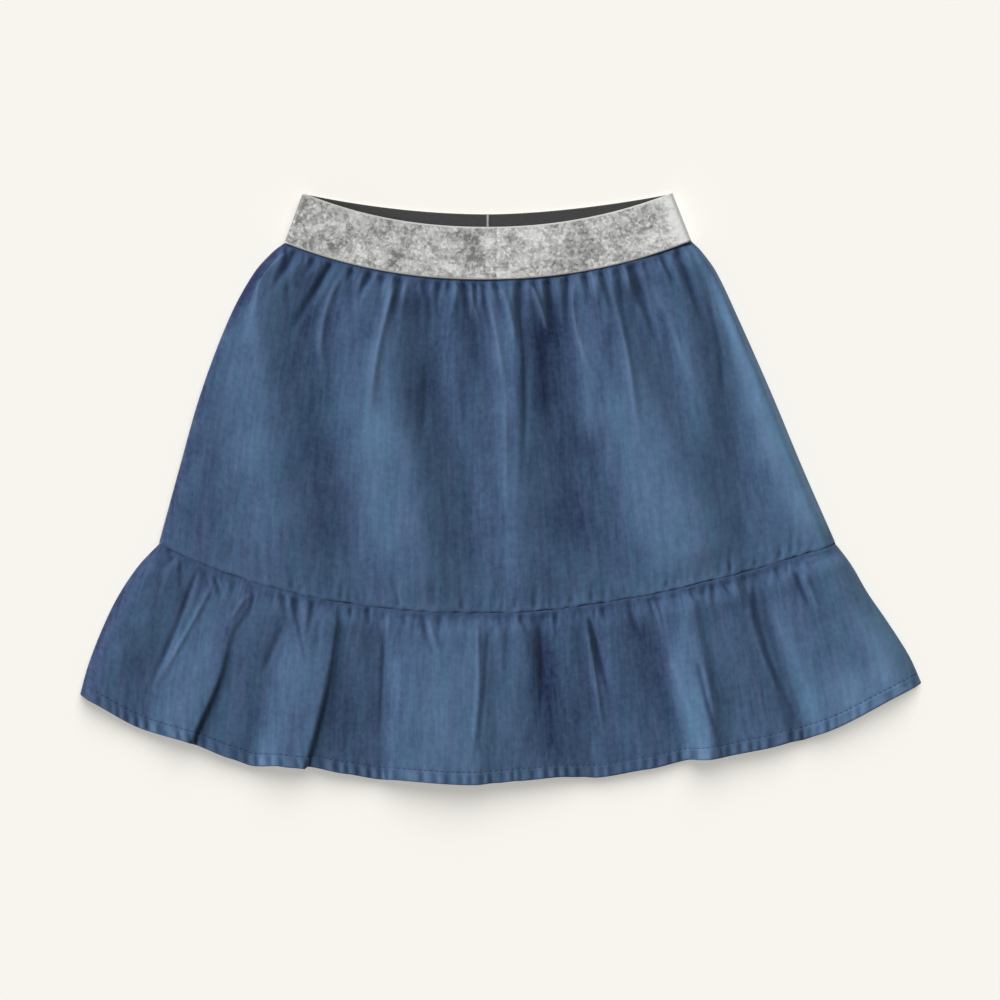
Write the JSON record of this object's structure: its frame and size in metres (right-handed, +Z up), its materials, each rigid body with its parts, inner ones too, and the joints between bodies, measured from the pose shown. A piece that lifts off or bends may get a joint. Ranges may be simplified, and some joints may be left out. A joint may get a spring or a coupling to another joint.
{
  "type": "girl's denim skirt, laid flat",
  "caption": "Pull-on denim skirt laid flat on its back: gathered front and back panels under a wide glitter elastic waistband, with a gathered ruffle round the hem.",
  "frame": {"origin": "on the surface that the skirt lies on, under the middle of its box", "axes": "+X across the skirt to the right as seen from above, +Y towards the waist, +Z up off the surface"},
  "size_m": [0.5048, 0.3542, 0.0187],
  "materials": {
    "denim": "light indigo denim, washed, matt, with a fine warp streak",
    "glitter_elastic": "silver glitter elastic with smooth edges and a charcoal inside"
  },
  "bodies": {
    "root": {"waistband": "glitter_elastic", "front_panel": "denim", "back_panel": "denim", "front_ruffle": "denim", "back_ruffle": "denim"}
  },
  "joints": []
}
